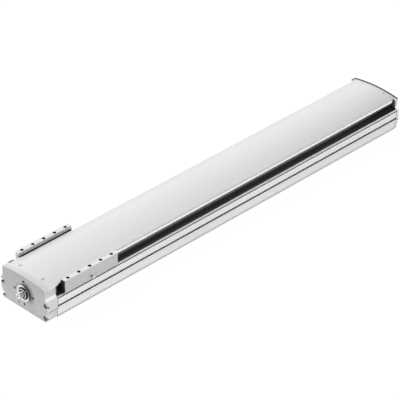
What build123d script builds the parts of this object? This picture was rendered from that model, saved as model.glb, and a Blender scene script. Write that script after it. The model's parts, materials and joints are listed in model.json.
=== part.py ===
from build123d import *
import math
import os

# Ball screw linear axis. Millimetres, +X from the drive end to the far end, +Z up.
# The origin is the bottom centre of the whole axis with its shaft.

# Driving dimensions: lengths along the axis, measured from the drive cap's front face
body_length = 1435.0
drive_cap_length = 40.0
end_cap_length = 12.0
shaft_reach = 22.0
carriage_centre = 158.0
carriage_length = 196.0

# Driving dimensions: section of the body
half_width = 94.0
foot_half_width = 88.6
waist_half_width = 90.0
top_half_width = 86.7
ledge_height = 69.0
crown_height = 110.2
crown_corner_height = 102.3
screw_axis_height = 55.0
rail_seat_height = 50.5
trough_floor = 26.0
trough_half_width = 31.0
channel_half_width = 66.0

# Driving dimensions: cover and side slot
cover_thickness = 3.0
step_half_width = 77.5
lip_half_width = 86.0
lip_top = 98.2
lip_bottom = 96.2

# Driving dimensions: carriage
bar_inner = 87.0
bar_outer = 101.5
bar_web_inner = 89.0
bar_top = 113.5
bar_bottom = 74.5
bar_head_bottom = 103.0
arm_half_width = 96.0
plate_bottom = 80.5
plate_top = 92.0
arm_top = 88.5
hole_row = 93.5
hole_pitch = 40.0
hole_radius = 3.4
rail_offset = 42.0

# Driving dimensions: spindle and its bearings
spindle_radius = 10.0
journal_radius = 8.5
shaft_radius = 8.0
end_journal_radius = 7.5
motor_circle_radius = 37.0
running_gap = 0.05

# Derived places along X, in the part's own frame
front = -(body_length - shaft_reach) / 2
rear = front + body_length
profile_start = front + drive_cap_length
profile_end = rear - end_cap_length
profile_length = profile_end - profile_start
carriage_x = front + carriage_centre
carriage_half = carriage_length / 2

crown_rise = crown_height - crown_corner_height
crown_radius = (top_half_width**2 + crown_rise**2) / (2 * crown_rise)
crown_centre = crown_height - crown_radius

os.makedirs("parts", exist_ok=True)


def section_at(x):
    """Plane across the axis: its first direction is +Y and its second is +Z."""
    return Plane(origin=(x, 0, 0), x_dir=(0, 1, 0), z_dir=(1, 0, 0))


def arc_height(y, sink=0.0):
    """Height of the crown at the side distance y, on a surface sunk below the top."""
    return crown_centre + math.sqrt((crown_radius - sink) ** 2 - y**2)


def mirrored(points):
    """Points of the -Y half, in the order that closes the outline."""
    return [(-y, z) for y, z in reversed(points)]


def finish(builder, label):
    """Name a finished piece and write it to its own file."""
    builder.part.label = label
    export_step(builder.part, f"parts/{label}.step")


# Body profile: an extrusion with a channel on top and slots along both sides
side_points = [
    (foot_half_width, 0),
    (waist_half_width, 8),
    (waist_half_width, 29),
    (half_width, 31.5),
    (half_width, ledge_height),
]
channel_points = [
    (channel_half_width, ledge_height),
    (channel_half_width, rail_seat_height),
    (trough_half_width, rail_seat_height),
    (trough_half_width, trough_floor),
]
t_slot_height = 39.8
t_slot_opening = 6.0
t_slot_lip = 3.5
t_slot_head_depth = 5.0
t_slot_head_height = 11.0
sensor_groove_height = 64.5
sensor_groove_opening = 4.6
sensor_groove_depth = 5.0
upper_screw = (87.0, 54.0)
lower_screw = (84.0, 13.0)
cap_screw_places = [
    (side * place[0], place[1]) for side in (-1, 1) for place in (upper_screw, lower_screw)
]
cap_screw_radius = 4.0
cap_thread_depth = 30.0
rail_screw_pitch = 60.0
rail_screw_count = 22
rail_start = profile_start + 4
rail_length = profile_length - 8
rail_centre_x = rail_start + rail_length / 2
rail_screw_depth = 6.0

with BuildPart() as base_profile:
    with BuildSketch(section_at(profile_start)):
        with BuildLine():
            half = side_points + channel_points
            Polyline(*half, *mirrored(half), close=True)
        make_face()
        for side in (-1, 1):
            # T-slot
            with Locations((side * (half_width - t_slot_lip / 2), t_slot_height)):
                Rectangle(t_slot_lip, t_slot_opening, mode=Mode.SUBTRACT)
            head_middle = half_width - t_slot_lip - t_slot_head_depth / 2
            with Locations((side * head_middle, t_slot_height)):
                Rectangle(t_slot_head_depth, t_slot_head_height, mode=Mode.SUBTRACT)
            # Sensor groove
            with Locations((side * (half_width - sensor_groove_depth / 2), sensor_groove_height)):
                Rectangle(sensor_groove_depth, sensor_groove_opening, mode=Mode.SUBTRACT)
            # Side chambers
            with Locations((side * 56.5, 25)):
                RectangleRounded(41, 36, 3, mode=Mode.SUBTRACT)
            with Locations((side * 74.5, 55)):
                RectangleRounded(7, 16, 2, mode=Mode.SUBTRACT)
        # Middle chamber
        with Locations((0, 13)):
            RectangleRounded(56, 14, 3, mode=Mode.SUBTRACT)
    extrude(amount=profile_length)
    # Threads for the cap screws at both ends
    for x in (profile_start, profile_end - cap_thread_depth):
        with BuildSketch(section_at(x)):
            with Locations(*cap_screw_places):
                Circle(cap_screw_radius)
        extrude(amount=cap_thread_depth, mode=Mode.SUBTRACT)
    # Threads for the rail screws
    with BuildSketch(Plane.XY.offset(rail_seat_height)):
        with Locations((rail_centre_x, 0)):
            with GridLocations(rail_screw_pitch, 2 * rail_offset, rail_screw_count, 2):
                Circle(2.5)
    extrude(amount=-rail_screw_depth, mode=Mode.SUBTRACT)
finish(base_profile, "base_profile")


# Caps share the outline of the body, closed by the crown on top
fillet_top = 80.0
fillet_bottom = 67.0
fillet_middle = (half_width - 5.6, 71.5)
cap_corner = 3.0
cap_side_points = [(foot_half_width - cap_corner, 0), (foot_half_width + 0.2, cap_corner), *side_points[1:4]]


def cap_outline(sink):
    """Outline of a cap whose crown lies the given depth below the full height."""
    shoulder = (top_half_width, arc_height(top_half_width, sink))
    with BuildSketch() as outline:
        with BuildLine():
            Polyline((-cap_side_points[0][0], 0), *cap_side_points, (half_width, fillet_bottom))
            ThreePointArc((half_width, fillet_bottom), fillet_middle, (top_half_width, fillet_top))
            Line((top_half_width, fillet_top), shoulder)
            ThreePointArc(shoulder, (0, crown_height - sink), (-shoulder[0], shoulder[1]))
            Line((-shoulder[0], shoulder[1]), (-top_half_width, fillet_top))
            ThreePointArc(
                (-top_half_width, fillet_top),
                (-fillet_middle[0], fillet_middle[1]),
                (-half_width, fillet_bottom),
            )
            Polyline((-half_width, fillet_bottom), *mirrored(cap_side_points))
        make_face()
    return outline.sketch_local


joint_groove = 0.8
cover_screw_places = [(front + 30, 46), (front + 30, -46), (rear - 16, 42), (rear - 16, -42)]
hood_gap = 0.1
hood_start = front + 11
cap_top_sink = cover_thickness + hood_gap
pocket_radius = 7.5
screw_clearance = 4.3
drive_pocket_depth = 14.0
collar_seat_radius = 25.0
collar_sink = 6.0
bearing_seat_radius = 20.0
bearing_length = 24.0
buffer_places = [(-50, 86.2), (50, 86.2)]

with BuildPart() as drive_cap:
    with BuildSketch(section_at(front)):
        add(cap_outline(0))
    extrude(amount=hood_start - front)
    with BuildSketch(section_at(hood_start)):
        add(cap_outline(cap_top_sink))
    extrude(amount=profile_start - joint_groove - hood_start)
    # The cap steps in beside its joint with the body, which leaves a fine groove
    with BuildSketch(section_at(profile_start - joint_groove)):
        add(cap_outline(cap_top_sink))
        offset(amount=-joint_groove, mode=Mode.REPLACE)
    extrude(amount=joint_groove)
    # Open screw pockets
    with BuildSketch(section_at(front)):
        with Locations(*cap_screw_places):
            Circle(pocket_radius)
    extrude(amount=drive_pocket_depth, mode=Mode.SUBTRACT)
    with BuildSketch(section_at(front)):
        with Locations(*cap_screw_places):
            Circle(screw_clearance)
    extrude(amount=drive_cap_length, mode=Mode.SUBTRACT)
    # Seats of the collar and the bearing, and the way out for the spindle
    for radius, depth in (
        (collar_seat_radius, collar_sink),
        (bearing_seat_radius, collar_sink + bearing_length),
        (spindle_radius + 2, drive_cap_length),
    ):
        with BuildSketch(section_at(front)):
            with Locations((0, screw_axis_height)):
                Circle(radius)
        extrude(amount=depth, mode=Mode.SUBTRACT)
    # Motor flange holes, and two small ones beside them
    with BuildSketch(section_at(front)):
        with Locations((0, screw_axis_height)):
            with PolarLocations(motor_circle_radius, 4):
                Circle(hole_radius)
    extrude(amount=18, mode=Mode.SUBTRACT)
    with BuildSketch(section_at(front)):
        with Locations((22.5, 14.5)):
            Circle(2.1)
        with Locations((29, 70)):
            Circle(1.2)
    extrude(amount=10, mode=Mode.SUBTRACT)
    # Threads of the cover screws
    with BuildSketch(Plane.XY.offset(crown_height)):
        with Locations(*cover_screw_places[:2]):
            Circle(1.7)
    extrude(amount=-20, mode=Mode.SUBTRACT)
finish(drive_cap, "drive_cap")

end_pocket_depth = 8.0
boss_radius = 24.0
boss_length = 18.0
end_bearing_radius = 17.5
end_bearing_length = 11.0
end_bearing_x = profile_end - boss_length + 3
lug_length = 11.0
lug_bottom = 96.0
lug_top = 104.5

with BuildPart() as end_cap:
    with BuildSketch(section_at(profile_end)):
        add(cap_outline(cap_top_sink))
        offset(amount=-joint_groove, mode=Mode.REPLACE)
    extrude(amount=joint_groove)
    with BuildSketch(section_at(profile_end + joint_groove)):
        add(cap_outline(cap_top_sink))
    extrude(amount=end_cap_length - joint_groove)
    with BuildSketch(section_at(profile_end)):
        with Locations((0, screw_axis_height)):
            Circle(boss_radius)
    extrude(amount=-boss_length)
    with BuildSketch(section_at(profile_end - boss_length)):
        with Locations((0, screw_axis_height)):
            Circle(end_bearing_radius)
    extrude(amount=boss_length - 1, mode=Mode.SUBTRACT)
    with BuildSketch(section_at(rear)):
        with Locations(*cap_screw_places):
            Circle(pocket_radius)
    extrude(amount=-end_pocket_depth, mode=Mode.SUBTRACT)
    with BuildSketch(section_at(rear)):
        with Locations(*cap_screw_places):
            Circle(screw_clearance)
    extrude(amount=-end_cap_length, mode=Mode.SUBTRACT)
    # Lugs under the cover for its screws
    with BuildSketch(section_at(profile_end + joint_groove)):
        for side in (-1, 1):
            with Locations((side * cover_screw_places[2][1], lug_bottom)):
                Rectangle(12, lug_top - lug_bottom, align=(Align.CENTER, Align.MIN))
    extrude(amount=-lug_length)
    with BuildSketch(Plane.XY.offset(crown_height)):
        with Locations(*cover_screw_places[2:]):
            Circle(1.7)
    extrude(amount=-20, mode=Mode.SUBTRACT)
finish(end_cap, "end_cap")


# Cover: crowned sheet with a step and a lip along each side, and a hood over each cap
cover_end = rear - 4.6
taper_start = front + 44
taper_end = front + 74
far_taper_start = rear - 27
inner_step = step_half_width - cover_thickness
screw_recess_radius = 4.2

with BuildPart() as cover:
    # Crown with lips between the caps
    with BuildSketch(section_at(taper_end)):
        with BuildLine():
            edge = (step_half_width, arc_height(step_half_width))
            inner = (inner_step, arc_height(inner_step, cover_thickness))
            ThreePointArc((-edge[0], edge[1]), (0, crown_height), edge)
            Polyline(edge, (step_half_width, lip_top), (lip_half_width, lip_top),
                     (lip_half_width, lip_bottom), (inner_step, lip_bottom), inner)
            ThreePointArc(inner, (0, crown_height - cover_thickness), (-inner[0], inner[1]))
            Polyline((-inner[0], inner[1]), (-inner_step, lip_bottom), (-lip_half_width, lip_bottom),
                     (-lip_half_width, lip_top), (-step_half_width, lip_top), (-edge[0], edge[1]))
        make_face()
    extrude(amount=profile_end - taper_end)
    # Lips run out in an arc before the far cap
    with BuildSketch(Plane.XY.offset(lip_bottom - 1)):
        for side in (-1, 1):
            with BuildLine():
                ThreePointArc(
                    (far_taper_start, side * lip_half_width),
                    (far_taper_start + 9, side * (lip_half_width - 5.2)),
                    (profile_end, side * step_half_width),
                )
                Polyline((profile_end, side * step_half_width), (profile_end, side * (lip_half_width + 1)),
                         (far_taper_start, side * (lip_half_width + 1)), (far_taper_start, side * lip_half_width))
            make_face()
    extrude(amount=lip_top - lip_bottom + 2, mode=Mode.SUBTRACT)
    # Hoods of full width: a tapered one at the drive end and a short one at the far end
    with BuildSketch(section_at(hood_start)) as hood_section:
        with BuildLine():
            corner = (top_half_width, arc_height(top_half_width))
            under = (top_half_width, arc_height(top_half_width, cover_thickness))
            ThreePointArc((-corner[0], corner[1]), (0, crown_height), corner)
            Line(corner, under)
            ThreePointArc(under, (0, crown_height - cover_thickness), (-under[0], under[1]))
            Line((-under[0], under[1]), (-corner[0], corner[1]))
        make_face()
    extrude(amount=taper_end - hood_start)
    with BuildSketch(Plane.XY.offset(arc_height(top_half_width, cover_thickness) - 0.5)):
        for side in (-1, 1):
            with BuildLine():
                ThreePointArc(
                    (taper_start, side * top_half_width),
                    (taper_start + 13, side * (top_half_width - 3.4)),
                    (taper_end, side * step_half_width),
                )
                Polyline((taper_end, side * step_half_width), (taper_end, side * (top_half_width + 1)),
                         (taper_start, side * (top_half_width + 1)), (taper_start, side * top_half_width))
            make_face()
    extrude(amount=crown_height, mode=Mode.SUBTRACT)
    with BuildSketch(section_at(profile_end)):
        add(hood_section.sketch_local)
    extrude(amount=cover_end - profile_end)
    # Countersunk places of the cover screws
    with BuildSketch(Plane.XY.offset(crown_height + 1)):
        with Locations(*cover_screw_places):
            Circle(screw_recess_radius)
    extrude(amount=-(crown_height - arc_height(50) + 3), mode=Mode.SUBTRACT)
    with BuildSketch(Plane.XY.offset(crown_height + 1)):
        with Locations(*cover_screw_places):
            Circle(2.2)
    extrude(amount=-12, mode=Mode.SUBTRACT)
finish(cover, "cover")


# Centring collar: a proud ring on the drive cap with a narrower foot in its seat
collar_radius = 26.0
collar_proud = 3.0
collar_bore = 19.5

with BuildPart() as collar:
    with BuildSketch(section_at(front - collar_proud)):
        with Locations((0, screw_axis_height)):
            Circle(collar_radius)
    extrude(amount=collar_proud)
    with BuildSketch(section_at(front)):
        with Locations((0, screw_axis_height)):
            Circle(collar_seat_radius)
    extrude(amount=collar_sink)
    with BuildSketch(section_at(front - collar_proud)):
        with Locations((0, screw_axis_height)):
            Circle(collar_bore)
    extrude(amount=collar_proud + collar_sink, mode=Mode.SUBTRACT)
    chamfer(collar.edges().filter_by(GeomType.CIRCLE).group_by(Axis.X)[0].sort_by(SortBy.RADIUS)[-1], 0.8)
finish(collar, "collar")

# Black seal in the bore of the collar, just clear of the lock nut
lock_nut_radius = 15.5
collar_seal_bore = lock_nut_radius + 0.3

with BuildPart() as collar_seal:
    with BuildSketch(section_at(front - collar_proud + 1.2)):
        with Locations((0, screw_axis_height)):
            Circle(collar_bore)
            Circle(collar_seal_bore, mode=Mode.SUBTRACT)
    extrude(amount=3)
finish(collar_seal, "collar_seal")

# Dark trim along the top edge of the far end
trim_proud = 1.2

with BuildPart() as end_trim:
    with BuildSketch(section_at(cover_end)):
        with BuildLine():
            outer = (top_half_width, arc_height(top_half_width, -trim_proud))
            bottom = (top_half_width, arc_height(top_half_width, cap_top_sink))
            ThreePointArc((-outer[0], outer[1]), (0, crown_height + trim_proud), outer)
            Line(outer, bottom)
            ThreePointArc(bottom, (0, crown_height - cap_top_sink), (-bottom[0], bottom[1]))
            Line((-bottom[0], bottom[1]), (-outer[0], outer[1]))
        make_face()
    extrude(amount=rear - cover_end)
finish(end_trim, "end_trim")

# Short clips that lap over the left edge of both hoods
clip_thickness = 1.2
clip_rise = 0.5
clip_bottom = arc_height(top_half_width, cover_thickness)
clip_inner = top_half_width - 3.6
clip_seat = 0.02
clip_spans = [(front + 22.5, front + 40), (rear - 16, cover_end)]

with BuildPart() as side_clips:
    for clip_start, clip_end in clip_spans:
        with BuildSketch(section_at(clip_start)):
            with BuildLine():
                Polyline(
                    (top_half_width, clip_bottom),
                    (top_half_width + clip_thickness, clip_bottom),
                    (top_half_width + clip_thickness, crown_corner_height + clip_rise / 2),
                    (top_half_width, crown_corner_height + clip_rise),
                    (clip_inner, arc_height(clip_inner) + clip_rise),
                    (clip_inner, arc_height(clip_inner) + clip_seat),
                    (top_half_width, crown_corner_height + clip_seat),
                    close=True,
                )
            make_face()
        extrude(amount=clip_end - clip_start)
finish(side_clips, "side_clips")

# Guard strips: a low black step with a thin foot that reaches out over the ledge
guard_inner = 68.0
guard_outer = 84.0
guard_foot = 89.5
guard_foot_top = ledge_height + 1.0
guard_top = 79.0

with BuildPart() as guard_strips:
    with BuildSketch(section_at(profile_start)):
        for side in (-1, 1):
            with BuildLine():
                Polyline(
                    (side * guard_inner, ledge_height),
                    (side * guard_foot, ledge_height),
                    (side * guard_foot, guard_foot_top),
                    (side * guard_outer, guard_foot_top),
                    (side * guard_outer, guard_top),
                    (side * guard_inner, guard_top),
                    close=True,
                )
            make_face()
    extrude(amount=profile_length)
finish(guard_strips, "guard_strips")

# Seals that hang under the lips of the cover
seal_inner = 81.5
seal_outer = 84.0
seal_bottom = 89.7
seal_end = far_taper_start + 2

with BuildPart() as lip_seals:
    with BuildSketch(section_at(taper_end)):
        for side in (-1, 1):
            with Locations((side * (seal_inner + seal_outer) / 2, (seal_bottom + lip_bottom) / 2)):
                Rectangle(seal_outer - seal_inner, lip_bottom - seal_bottom)
    extrude(amount=seal_end - taper_end)
finish(lip_seals, "lip_seals")

# Dust plates on the inner faces of the caps, behind the ends of the side slots
dust_plate = 2.0
dust_bottom = 79.2
dust_top = 95.5
dust_inner = 56.5
dust_outer = 86.5

with BuildPart() as dust_plates:
    for x in (profile_start, profile_end - dust_plate):
        with BuildSketch(section_at(x)):
            for side in (-1, 1):
                with Locations((side * (dust_inner + dust_outer) / 2, (dust_bottom + dust_top) / 2)):
                    Rectangle(dust_outer - dust_inner, dust_top - dust_bottom)
        extrude(amount=dust_plate)
finish(dust_plates, "dust_plates")

# Guide rails with counterbored holes, and their screws
rail_height = 18.0
rail_bore_depth = 9.0
rail_head_radius = 4.6
rail_head_height = 5.0

with BuildPart() as rails:
    with BuildSketch(section_at(rail_start)):
        for side in (-1, 1):
            with BuildLine():
                half_rail = [(10, 0), (10, 6.5), (8.2, 8.5), (8.2, 12.5), (10, 14.5), (10, 17), (9, rail_height)]
                right_side = [(side * rail_offset + y, rail_seat_height + z) for y, z in half_rail]
                left_side = [(side * rail_offset - y, rail_seat_height + z) for y, z in reversed(half_rail)]
                Polyline(*right_side, *left_side, close=True)
            make_face()
    extrude(amount=rail_length)
    with BuildSketch(Plane.XY.offset(rail_seat_height + rail_height)):
        with Locations((rail_centre_x, 0)):
            with GridLocations(rail_screw_pitch, 2 * rail_offset, rail_screw_count, 2):
                Circle(4.8)
    extrude(amount=-rail_bore_depth, mode=Mode.SUBTRACT)
    with BuildSketch(Plane.XY.offset(rail_seat_height + rail_height)):
        with Locations((rail_centre_x, 0)):
            with GridLocations(rail_screw_pitch, 2 * rail_offset, rail_screw_count, 2):
                Circle(3)
    extrude(amount=-rail_height, mode=Mode.SUBTRACT)
finish(rails, "rails")

with BuildPart() as rail_screws:
    with BuildSketch(Plane.XY.offset(rail_seat_height - rail_screw_depth + 0.5)):
        with Locations((rail_centre_x, 0)):
            with GridLocations(rail_screw_pitch, 2 * rail_offset, rail_screw_count, 2):
                Circle(2.4)
    extrude(amount=rail_screw_depth - 0.5 + rail_height - rail_bore_depth)
    with BuildSketch(Plane.XY.offset(rail_seat_height + rail_height - rail_bore_depth)):
        with Locations((rail_centre_x, 0)):
            with GridLocations(rail_screw_pitch, 2 * rail_offset, rail_screw_count, 2):
                Circle(rail_head_radius)
    extrude(amount=rail_head_height)
finish(rail_screws, "rail_screws")

# Cap screws: socket heads in the open pockets
cap_head_radius = 6.5
cap_head_height = 8.0
socket_radius = 3.4
socket_depth = 4.0

with BuildPart() as drive_cap_screws:
    with BuildSketch(section_at(front + drive_pocket_depth)):
        with Locations(*cap_screw_places):
            Circle(cap_head_radius)
    extrude(amount=-cap_head_height)
    with BuildSketch(section_at(front + drive_pocket_depth)):
        with Locations(*cap_screw_places):
            Circle(3.9)
    extrude(amount=drive_cap_length - drive_pocket_depth + cap_thread_depth - 4)
    with BuildSketch(section_at(front + drive_pocket_depth - cap_head_height)):
        with Locations(*cap_screw_places):
            RegularPolygon(socket_radius, 6)
    extrude(amount=socket_depth, mode=Mode.SUBTRACT)
finish(drive_cap_screws, "drive_cap_screws")

with BuildPart() as end_cap_screws:
    with BuildSketch(section_at(rear - end_pocket_depth)):
        with Locations(*cap_screw_places):
            Circle(cap_head_radius)
    extrude(amount=end_pocket_depth - 0.5)
    with BuildSketch(section_at(rear - end_pocket_depth)):
        with Locations(*cap_screw_places):
            Circle(3.9)
    extrude(amount=-(end_cap_length - end_pocket_depth + cap_thread_depth - 4))
    with BuildSketch(section_at(rear - 0.5)):
        with Locations(*cap_screw_places):
            RegularPolygon(socket_radius, 6)
    extrude(amount=-socket_depth, mode=Mode.SUBTRACT)
finish(end_cap_screws, "end_cap_screws")

# Cover screws stand upright in their flat recesses
cover_head_bottom = arc_height(50) - 2
cover_head_radius = 3.8

with BuildPart() as cover_screws:
    with BuildSketch(Plane.XY.offset(cover_head_bottom)):
        with Locations(*cover_screw_places):
            Circle(cover_head_radius)
    extrude(amount=1.9)
    with BuildSketch(Plane.XY.offset(cover_head_bottom)):
        with Locations(*cover_screw_places):
            Circle(1.6)
    extrude(amount=-9)
    with BuildSketch(Plane.XY.offset(cover_head_bottom + 1.9)):
        with Locations(*cover_screw_places):
            RegularPolygon(1.3, 6)
    extrude(amount=-1.2, mode=Mode.SUBTRACT)
finish(cover_screws, "cover_screws")

# Rubber stops on both caps
buffer_radius = 5.5
buffer_length = 14.0

with BuildPart() as buffers:
    for x, reach in ((profile_start, buffer_length), (profile_end, -buffer_length)):
        with BuildSketch(section_at(x)):
            with Locations(*buffer_places):
                Circle(buffer_radius)
        extrude(amount=reach)
finish(buffers, "buffers")


# Bearings: fixed outer rings with shields, and inner rings that turn with the spindle
def ring(plane, outer_radius, bore):
    """Flat ring around the screw axis, on the given plane."""
    with BuildSketch(plane) as face:
        with Locations((0, screw_axis_height)):
            Circle(outer_radius)
            Circle(bore, mode=Mode.SUBTRACT)
    return face.sketch_local


seat_start = front + collar_sink
outer_ring_bore = 16.5
inner_ring_radius = 12.0
shield_bore = 12.4
shield_thickness = 1.5

with BuildPart() as drive_bearing_outer:
    with BuildSketch(section_at(seat_start)):
        add(ring(Plane.XY, bearing_seat_radius, outer_ring_bore))
    extrude(amount=bearing_length)
finish(drive_bearing_outer, "drive_bearing_outer")

with BuildPart() as drive_bearing_shields:
    for x in (seat_start + 0.5, seat_start + bearing_length - 0.5 - shield_thickness):
        with BuildSketch(section_at(x)):
            add(ring(Plane.XY, outer_ring_bore, shield_bore))
        extrude(amount=shield_thickness)
finish(drive_bearing_shields, "drive_bearing_shields")

with BuildPart() as drive_bearing_inner:
    with BuildSketch(section_at(seat_start)):
        add(ring(Plane.XY, inner_ring_radius, journal_radius))
    extrude(amount=bearing_length)
finish(drive_bearing_inner, "drive_bearing_inner")

end_outer_bore = 14.5
end_inner_radius = 10.5

with BuildPart() as end_bearing_outer:
    with BuildSketch(section_at(end_bearing_x)):
        add(ring(Plane.XY, end_bearing_radius, end_outer_bore))
    extrude(amount=end_bearing_length)
finish(end_bearing_outer, "end_bearing_outer")

with BuildPart() as end_bearing_inner:
    with BuildSketch(section_at(end_bearing_x)):
        add(ring(Plane.XY, end_inner_radius, end_journal_radius))
    extrude(amount=end_bearing_length)
finish(end_bearing_inner, "end_bearing_inner")


# Spindle with its journals, the lock nut and the retaining ring
shaft_tip = front - shaft_reach
nut_front = front - 7
nut_recess_radius = 11.6
spindle_end = end_bearing_x + end_bearing_length + 2.5
spindle_steps = [
    (shaft_tip, nut_front, shaft_radius),
    (nut_front, seat_start + bearing_length, journal_radius),
    (seat_start + bearing_length, end_bearing_x, spindle_radius),
    (end_bearing_x, spindle_end, end_journal_radius),
]

with BuildPart() as spindle:
    for step_start, step_end, radius in spindle_steps:
        with BuildSketch(section_at(step_start)):
            with Locations((0, screw_axis_height)):
                Circle(radius)
        extrude(amount=step_end - step_start)
    chamfer(spindle.edges().filter_by(GeomType.CIRCLE).group_by(Axis.X)[0], 1)
    chamfer(spindle.edges().filter_by(GeomType.CIRCLE).group_by(Axis.X)[-1], 0.6)
    with BuildSketch(section_at(shaft_tip)):
        with Locations((0, screw_axis_height)):
            Circle(1.9)
    extrude(amount=5, mode=Mode.SUBTRACT)
finish(spindle, "spindle")

with BuildPart() as lock_nut:
    with BuildSketch(section_at(nut_front)):
        add(ring(Plane.XY, lock_nut_radius, journal_radius))
    extrude(amount=seat_start - nut_front)
    chamfer(lock_nut.edges().filter_by(GeomType.CIRCLE).group_by(Axis.X)[0].sort_by(SortBy.RADIUS)[-1], 1)
    with BuildSketch(section_at(nut_front)):
        add(ring(Plane.XY, nut_recess_radius, journal_radius))
    extrude(amount=3, mode=Mode.SUBTRACT)
    # Four wrench slots
    with BuildSketch(section_at(nut_front)):
        with Locations((0, screw_axis_height)):
            with PolarLocations(lock_nut_radius, 4, start_angle=45):
                Rectangle(4, 4)
    extrude(amount=6, mode=Mode.SUBTRACT)
finish(lock_nut, "lock_nut")

# Black seal in the front of the lock nut
with BuildPart() as shaft_seal:
    with BuildSketch(section_at(nut_front + 0.8)):
        add(ring(Plane.XY, nut_recess_radius, journal_radius))
    extrude(amount=2.2)
finish(shaft_seal, "shaft_seal")

with BuildPart() as retaining_ring:
    with BuildSketch(section_at(end_bearing_x + end_bearing_length)):
        add(ring(Plane.XY, end_journal_radius + 2, end_journal_radius))
    extrude(amount=1.2)
finish(retaining_ring, "retaining_ring")


# Carriage: the cross plate with its arms and the threads for the pieces below it
carriage_start = carriage_x - carriage_half
arm_step = 70.0
block_x = [-60.0, 60.0]
block_screw_x = 16.0
block_screw_y = 16.0
block_screw_places = [
    (carriage_x + bx + sx * block_screw_x, side * rail_offset + sy * block_screw_y)
    for bx in block_x
    for side in (-1, 1)
    for sx in (-1, 1)
    for sy in (-1, 1)
]
housing_start = -24.0
housing_end = 14.0
housing_screw_places = [(carriage_x - 5 + dx, dy) for dx in (-12, 12) for dy in (-23, 23)]
bar_screw_row = 91.5
bar_screw_places = [(carriage_x + dx, side * bar_screw_row) for dx in (-60, -20, 20, 60) for side in (-1, 1)]
plate_head_radius = 4.25
plate_head_height = 5.0

with BuildPart() as cross_plate:
    with BuildSketch(section_at(carriage_start)):
        with BuildLine():
            half_plate = [
                (arm_half_width, plate_bottom),
                (arm_half_width, arm_top),
                (arm_step, arm_top),
                (arm_step, plate_top),
            ]
            Polyline(*half_plate, *mirrored(half_plate), close=True)
        make_face()
    extrude(amount=carriage_length)
    for radius, depth in ((4.5, 5.6), (2.7, plate_top - plate_bottom)):
        with BuildSketch(Plane.XY.offset(plate_top)):
            with Locations(*block_screw_places, *housing_screw_places):
                Circle(radius)
        extrude(amount=-depth, mode=Mode.SUBTRACT)
    with BuildSketch(Plane.XY.offset(plate_bottom)):
        with Locations(*bar_screw_places):
            Circle(2.7)
    extrude(amount=arm_top - plate_bottom, mode=Mode.SUBTRACT)
finish(cross_plate, "cross_plate")

# Mounting bars: a head over the cover's edge, a web and an outer skirt
thread_places = [carriage_x + hole_pitch * step for step in (-2, -1, 0, 1, 2)]
thread_depth = 16.0
seat_radius = 4.45
middle_seat_radius = 4.75
seat_depth = 2.1
port_height = 83.0
port_radius = 2.9
port_depth = 5.0
plug_offset = 14.5
plug_height = 85.0
plug_radius = 1.5
bar_thread_depth = 10.0
bar_chamfer = 2.0


def bar_blank(side):
    """Section of one mounting bar."""
    with BuildSketch() as face:
        with BuildLine():
            Polyline(
                (side * bar_outer, bar_bottom),
                (side * bar_outer, bar_top),
                (side * bar_inner, bar_top),
                (side * bar_inner, bar_head_bottom),
                (side * bar_web_inner, bar_head_bottom),
                (side * bar_web_inner, arm_top),
                (side * arm_half_width, arm_top),
                (side * arm_half_width, bar_bottom),
                close=True,
            )
        make_face()
    return face.sketch_local


for side, name in ((1, "bar_left"), (-1, "bar_right")):
    with BuildPart() as bar:
        with BuildSketch(section_at(carriage_start)):
            add(bar_blank(side))
        extrude(amount=carriage_length)
        end_edges = bar.edges().filter_by(Axis.Z).group_by(SortBy.LENGTH)[-1]
        chamfer(end_edges.filter_by(lambda edge: abs(edge.center().Y) > bar_outer - 0.1), bar_chamfer)
        # Threads for the load, each with a seat for a centring sleeve and the middle one with a wider seat
        with BuildSketch(Plane.XY.offset(bar_top)):
            with Locations(*[(x, side * hole_row) for x in thread_places]):
                Circle(hole_radius)
        extrude(amount=-thread_depth, mode=Mode.SUBTRACT)
        with BuildSketch(Plane.XY.offset(bar_top)):
            with Locations(*[(x, side * hole_row) for x in thread_places]):
                Circle(seat_radius)
            with Locations((carriage_x, side * hole_row)):
                Circle(middle_seat_radius)
        extrude(amount=-seat_depth, mode=Mode.SUBTRACT)
        # Threads for the screws that come up through the arm
        with BuildSketch(Plane.XY.offset(arm_top)):
            with Locations(*[place for place in bar_screw_places if place[1] * side > 0]):
                Circle(2.5)
        extrude(amount=bar_thread_depth, mode=Mode.SUBTRACT)
        # Grease port and plug holes in the outer face
        with BuildSketch(Plane(origin=(0, side * bar_outer, 0), x_dir=(1, 0, 0), z_dir=(0, -1, 0))):
            with Locations((carriage_x, port_height)):
                Circle(port_radius)
            with Locations((carriage_x - plug_offset, plug_height), (carriage_x + plug_offset, plug_height)):
                Circle(plug_radius)
        extrude(amount=side * port_depth, mode=Mode.SUBTRACT)
    finish(bar, name)

# Black wiper strips on the inner faces of both bars, beside the lips of the cover
wiper_inner = 87.4
wiper_bottom = 92.5

with BuildPart() as bar_wipers:
    with BuildSketch(section_at(carriage_start)):
        for side in (-1, 1):
            with Locations((side * (wiper_inner + bar_web_inner) / 2, (wiper_bottom + bar_head_bottom) / 2)):
                Rectangle(bar_web_inner - wiper_inner, bar_head_bottom - wiper_bottom)
    extrude(amount=carriage_length)
finish(bar_wipers, "bar_wipers")

# Black plate on the drive-side end of the right bar and arm
end_plate_thickness = 2.0
end_plate_inner = 71.0

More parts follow.
